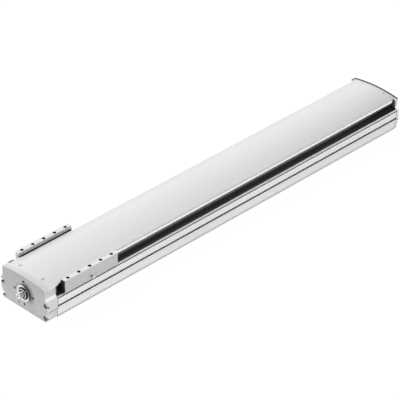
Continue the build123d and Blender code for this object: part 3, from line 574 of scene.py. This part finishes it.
def guard_plastic(name, level, foot_level, foot, inner_level=0, inner=None):
    """Dark strip, greyer towards its lower edge and inwards.

    foot is a range in height, inner one in distance from the middle plane.
    """
    finish = Finish(name, Roughness=0.7, Specular_IOR_Level=0.25)
    dust = finish.noise(30.0, stretch=(0.4, 1, 1), detail=4.0, roughness=0.6)
    black = finish.mottle(finish.limits(dust, *DUST_RANGE), level, 0, 6)
    colour = finish.mix(finish.fades(finish.spot("Z"), *foot), black, grey(foot_level))
    if inner:
        colour = finish.mix(finish.fades(finish.side(), *inner), colour, grey(inner_level))
    far_end = finish.limits(finish.spot("X"), *GUARD_END_LENGTH, 0.0, GUARD_END_SHARE)
    finish.set(Base_Color=finish.mix(far_end, colour, grey(level * GUARD_END_TONE)))
    finish.set(Normal=finish.bump(finish.noise(PLASTIC_GRAIN), PLASTIC_RELIEF))
    return finish.material


def rimmed_screws(name, level, places, radius):
    """Bright screw heads with painted shade on a rim round their edge, where the gap round each head lies;
    places are the heads' axes in X and Y.
    """
    finish = Finish(name, Metallic=0.6, Roughness=0.4)
    inner, outer = COVER_SCREW_RIM
    rim = 0
    for x, y in places:
        reach = finish.reach(finish.spot("X") - x, finish.spot("Y") - y)
        rim = finish.inside(reach, radius + inner, radius + outer) + rim
    grain = finish.noise(900.0)
    finish.set(Base_Color=finish.mix(rim, finish.mottle(grain, level, 6, 4), grey(RIM_GREY)))
    return finish.material


def nipple_steel(name, level):
    """Plated grease nipple, dark at its foot next to the bar, with a bright head."""
    finish = Finish(name, Roughness=0.3)
    foot_dark = finish.fades(finish.side(), NIPPLE_FOOT_SIDE, NIPPLE_FOOT_SIDE + NIPPLE_FOOT_EDGE)
    grain = finish.noise(900.0)
    steel = finish.mottle(grain, level, 8, 4)
    finish.set(Base_Color=finish.mix(foot_dark, steel, grey(RIM_GREY)))
    finish.set(Metallic=NIPPLE_METAL - foot_dark * NIPPLE_METAL)
    finish.set(Normal=finish.bump(grain, GRAIN_RELIEF))
    return finish.material


finishes = {
    "anodised": drawn_aluminium(
        "anodised_profile", 239, 225, 0.42,
        shades=((slot_shade, 5), (groove_shade, 136), (waist_shade, 70), (foot_shade, 208)),
        lights=((ledge_painted_light, 252),)),
    "cover": drawn_aluminium(
        "anodised_cover", 238, 236, 0.33,
        tints=((far_edge_shade, 228), (front_tint, 227)),
        shades=((step_shade, 205), (end_shade, 150), (lip_edge_shade, 64)),
        lights=((lip_painted_light, 255),)),
    "cast": milled_aluminium(
        "machined_caps", 216,
        shades=(
            (collar_painted_shadow, 96), (cap_waist_shade, 150), (pocket_wall_shade, 104), (pocket_edge_shade, 8), (flange_shade, 14)),
        lights=((fillet_painted_highlight, 252),),
        # painted light and shade: the upper sides and the front of the caps have their own levels
        faces=(
            ("Z", 0.079, 0.1, 206, 206),
            ("X", CAP_FRONT - FACE_CLEAR, CAP_FRONT + FACE_EDGE, 206, 194))),
    "bar": milled_aluminium(
        "milled_bars", 204,
        shades=((hole_shade, 2),),
        # painted light and shade: each face of the bars has its own level, the end chamfer lightest
        faces=(
            ("side", 0.0869, 0.0872, 190, 190),
            ("side", 0.1013, 0.102, 197, 197),
            ("Z", BAR_TOP - FACE_EDGE, BAR_TOP + FACE_CLEAR, 234, 234),
            ("X", BAR_FRONT - FACE_CLEAR, BAR_FRONT + FACE_EDGE, 222, 222),
            ("X", BAR_END - BAR_END_CHAMFER, BAR_END, 250, 250))),
    "dark_plate": dark_plastic("black_anodised_plate", 10, 0.6),
    "steel": plain_steel("ground_steel", 190, 0.35, 1.0, along=(0.05, 1, 1)),
    "bright_steel": turned_steel("polished_shaft", 248, 0.25, 0.6, centre=(SHAFT_TIP, 0.0026)),
    "ring_steel": turned_steel("turned_ring", 232, 0.3),
    "collar": turned_steel("turned_collar", 250, 0.3, 0.4, low_level=120, wall_from=0.0253),
    "nut_ring": turned_steel("turned_nut", 250, 0.3, 0.4, wall_from=0.0152, middle=0.0133),
    # painted light: the screws are near white and matt, standing in for the highlights on their heads
    "screw_steel": plain_steel("plated_screws", 249, 0.35, 0.05),
    "cover_screw": rimmed_screws("cover_screw_heads", 228, COVER_SCREWS, COVER_SCREW_RADIUS),
    # painted shade: the threads are dark grey for the shade inside the mounting holes
    "thread": plain_steel("tapped_wall", 46, 0.45, 0.3),
    "brass": nipple_steel("nipple_plating", 246),
    "black_plastic": dark_plastic("black_plastic", 8, 0.7),
    "block_plastic": dark_plastic("block_ends", 40, 0.45),
    "plug": dark_plastic("plug_plastic", 6, 0.6),
    "seal": dark_plastic("seal_rubber", 118, 0.62),
    "black_seal": dark_plastic("black_seal_rubber", 8, 0.7),
    "trim": dark_plastic("trim_rubber", 50, 0.55),
    "slot_dark": dark_plastic("slot_plates", 104, 0.7),
    "lip_seal": guard_plastic("lip_seal_rubber", 96, 124, (0.0900, 0.0935)),
    "guard": guard_plastic("guard_plastic", 17, 66, (0.0700, 0.0735), 104, (0.0720, 0.0840)),
}

# Nodes whose finish differs from that of their material slot
own_finish = {
    "guard_strips": "guard",
    "port_plugs": "plug",
    "lip_seals": "lip_seal",
    "dust_plates": "slot_dark",
    "cover_screws": "cover_screw",
    "collar": "collar",
    "lock_nut": "nut_ring",
    "collar_seal": "black_seal",
    "shaft_seal": "black_seal",
    "drive_bearing_outer": "ring_steel",
    "drive_bearing_inner": "ring_steel",
}


def dress_cad_nodes():
    """Give every CAD node its finish."""
    for part in frame["record"]["subparts"]:
        materials = nodes[part["node"]].data.materials
        finish = finishes[own_finish.get(part["node"], part["material_slot"])]
        if not materials:
            materials.append(finish)
        for index in range(len(materials)):
            materials[index] = finish


# Pieces made here: the threads of the mounting holes and the grease nipples
THREAD_PITCH = 0.00125
THREAD_WALL = 0.00342
THREAD_CREST = 0.00312
THREAD_TOP = BAR_TOP - 0.0026
THREAD_TURNS = 10
THREAD_STEPS = 28
# Corners of a ridge: distance from the hole's axis, and height in pitches
THREAD_RIDGE = ((THREAD_WALL, 0.45), (THREAD_CREST, 0.06), (THREAD_CREST, -0.06), (THREAD_WALL, -0.45))
NIPPLE_HEIGHT = 0.083
NIPPLE_FACE = 0.1015
NIPPLE_SIDES = 32
NIPPLE_HEX_SIDES = 6
NIPPLE_HEX_TURN = 0.4
NIPPLE_ROUND_FROM = 0.0031
NIPPLE_HEX_WIDE = 0.0036
# Distance from the bar, and share of the hexagon's width
NIPPLE_HEXAGON = ((0.0, 0.96), (0.0002, 1.0), (0.0027, 1.0), (0.0030, 0.9))
# Distance from the bar and radius, from the hexagon outwards to the ball in the mouth
NIPPLE_NECK = (
    (0.0026, 0.0029), (0.0034, 0.0027), (0.0041, 0.0021), (0.0058, 0.0020), (0.0066, 0.0024),
    (0.0072, 0.0030), (0.0079, 0.0031), (0.0087, 0.0029), (0.0094, 0.0023), (0.0099, 0.0015),
    (0.0100, 0.0010), (0.0095, 0.0008), (0.0097, 0.0005), (0.00985, 0.0002))


def new_piece(name, mesh, finish, body):
    """A piece from a finished bmesh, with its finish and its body."""
    bmesh.ops.recalc_face_normals(mesh, faces=mesh.faces)
    data = bpy.data.meshes.new(name)
    mesh.to_mesh(data)
    mesh.free()
    data.materials.append(finish)
    piece = bpy.data.objects.new(name, data)
    bpy.context.scene.collection.objects.link(piece)
    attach(piece, body)
    return piece


def skin(mesh, rings):
    """Faces between neighbouring rings, and a cap on both ends."""
    for one, two in zip(rings, rings[1:]):
        for corner in range(len(one)):
            after = (corner + 1) % len(one)
            mesh.faces.new((one[corner], one[after], two[after], two[corner]))
    mesh.faces.new(rings[0])
    mesh.faces.new(rings[-1])


def cut_thread(mesh, x, y):
    """Closed ridge that winds down the wall of one mounting hole."""
    rings = []
    for step in range(THREAD_TURNS * THREAD_STEPS + 1):
        angle = 2 * math.pi * step / THREAD_STEPS
        height = THREAD_TOP - THREAD_PITCH * step / THREAD_STEPS
        ring = []
        for reach, rise in THREAD_RIDGE:
            ring.append(mesh.verts.new((
                x + reach * math.cos(angle), y + reach * math.sin(angle), height + rise * THREAD_PITCH)))
        rings.append(ring)
    skin(mesh, rings)


def make_threads():
    """Threads of all the mounting holes, as one piece on the carriage."""
    mesh = bmesh.new()
    for place in range(-HOLES_FROM_MIDDLE, HOLES_FROM_MIDDLE + 1):
        for row in (-HOLE_ROW, HOLE_ROW):
            cut_thread(mesh, CARRIAGE_X + place * HOLE_PITCH, row)
    new_piece("hole_threads", mesh, finishes["thread"], "carriage")


def nipple_ring(mesh, side, out, radius, corners, turn=0.0):
    """Corners round a nipple's axis at one distance from the bar."""
    ring = []
    for corner in range(corners):
        angle = 2 * math.pi * corner / corners + turn
        ring.append(mesh.verts.new((
            CARRIAGE_X + radius * math.cos(angle), side * (NIPPLE_FACE + out),
            NIPPLE_HEIGHT + radius * math.sin(angle))))
    return ring


def make_nipples():
    """A nipple on the outer face of each bar: a hexagon, and a turned neck with the ball in its mouth."""
    mesh = bmesh.new()
    for side in (-1, 1):
        hexagon = []
        for out, wide in NIPPLE_HEXAGON:
            hexagon.append(nipple_ring(
                mesh, side, out, NIPPLE_HEX_WIDE * wide, NIPPLE_HEX_SIDES, NIPPLE_HEX_TURN))
        skin(mesh, hexagon)
        skin(mesh, [nipple_ring(mesh, side, out, radius, NIPPLE_SIDES) for out, radius in NIPPLE_NECK])
    for face in mesh.faces:
        from_middle = abs(face.calc_center_median().y)
        face.smooth = len(face.verts) == 4 and from_middle > NIPPLE_FACE + NIPPLE_ROUND_FROM
    piece = new_piece("grease_nipples", mesh, finishes["brass"], "carriage")
    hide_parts("lube_nipples")


# Studio: pale floor, a dome that is bright at the horizon, and two soft lamps
WHITE = (1.0, 1.0, 1.0)
LIGHT_HORIZON, LIGHT_ZENITH, LIGHT_RISE = 1.08, 0.3, (0.2, 0.8)
LIGHT_SHADED_SIDE, LIGHT_SIDES = 0.26, (-0.9, 0.1)
SHOWN_ZENITH, SHOWN_RISE = 0.4, (0.25, 0.75)
FLOOR_SIZE = 30.0
FLOOR_DROP = 0.0005
FLOOR_TONE = 0.86
FLOOR_GLOW = 0.9
FLOOR_GLOW_STRENGTH = 1.04
LAMP_DISTANCE = 6.0
LAMP_SPREAD = math.radians(40)


class Dome(Finish):
    """World shader written with the same maths as the finishes."""

    def __init__(self, name):
        self.world = bpy.data.worlds.new(name)
        self.world.use_nodes = True
        self.tree = self.world.node_tree
        self.tree.nodes.clear()

    def towards(self, name):
        """One coordinate of the direction that is looked in, named X, Y or Z."""
        direction = self.node("ShaderNodeTexCoord", output="Generated")
        return self.node("ShaderNodeSeparateXYZ", inputs={0: direction}, output=name)


def make_world():
    """Dome that lights the object, dimmer from one side, and a plain one that is seen and mirrored."""
    dome = Dome("studio_dome")
    bpy.context.scene.world = dome.world
    up = dome.towards("Z")
    side = dome.limits(dome.towards("X"), *LIGHT_SIDES, LIGHT_SHADED_SIDE, 1.0)
    lighting = dome.node("ShaderNodeBackground", inputs={
        "Color": WHITE, "Strength": dome.limits(up, *LIGHT_RISE, LIGHT_HORIZON, LIGHT_ZENITH) * side})
    shown = dome.node("ShaderNodeBackground", inputs={
        "Color": WHITE, "Strength": dome.limits(up, *SHOWN_RISE, 1.0, SHOWN_ZENITH)})
    mixed = dome.node("ShaderNodeMixShader", inputs={0: dome.seen_rays(), 1: lighting, 2: shown})
    output = dome.tree.nodes.new("ShaderNodeOutputWorld")
    dome.tree.links.new(mixed.socket, output.inputs["Surface"])


def make_floor():
    """Pale floor that keeps the object's shadow and is close to white where it is seen."""
    mesh = bpy.data.meshes.new("floor")
    half = FLOOR_SIZE / 2
    corners = [(-half, -half, 0), (half, -half, 0), (half, half, 0), (-half, half, 0)]
    mesh.from_pydata(corners, [], [(0, 1, 2, 3)])
    floor = bpy.data.objects.new("floor", mesh)
    floor.location = (0, 0, -FLOOR_DROP)
    bpy.context.scene.collection.objects.link(floor)
    finish = Finish("pale_floor", Roughness=0.9, Base_Color=(FLOOR_TONE,) * 3, Specular_IOR_Level=0.0)
    glow = finish.node("ShaderNodeEmission", inputs={"Color": WHITE, "Strength": FLOOR_GLOW_STRENGTH})
    surface = Signal(finish, finish.surface.outputs[0])
    mixed = finish.node("ShaderNodeMixShader", inputs={
        0: finish.seen_rays() * FLOOR_GLOW, 1: surface, 2: glow})
    finish.tree.links.new(mixed.socket, finish.output.inputs["Surface"])
    mesh.materials.append(finish.material)


def make_sun(name, direction, light):
    """Wide soft light from far off; light is what it adds to a white face that looks at it."""
    data = bpy.data.lights.new(name, "SUN")
    data.angle = LAMP_SPREAD
    data.energy = light * math.pi
    lamp = bpy.data.objects.new(name, data)
    towards = Vector(direction).normalized()
    lamp.location = towards * LAMP_DISTANCE
    lamp.rotation_mode = "QUATERNION"
    lamp.rotation_quaternion = towards.to_track_quat("Z", "Y")
    bpy.context.scene.collection.objects.link(lamp)


set_camera()
dress_cad_nodes()
make_threads()
make_nipples()
make_world()
make_floor()
make_sun("key_light", (-0.17, 0.62, 0.77), 0.66)
make_sun("side_light", (0.5, -0.55, 0.66), 0.32)

bpy.context.scene.view_settings.view_transform = "Standard"
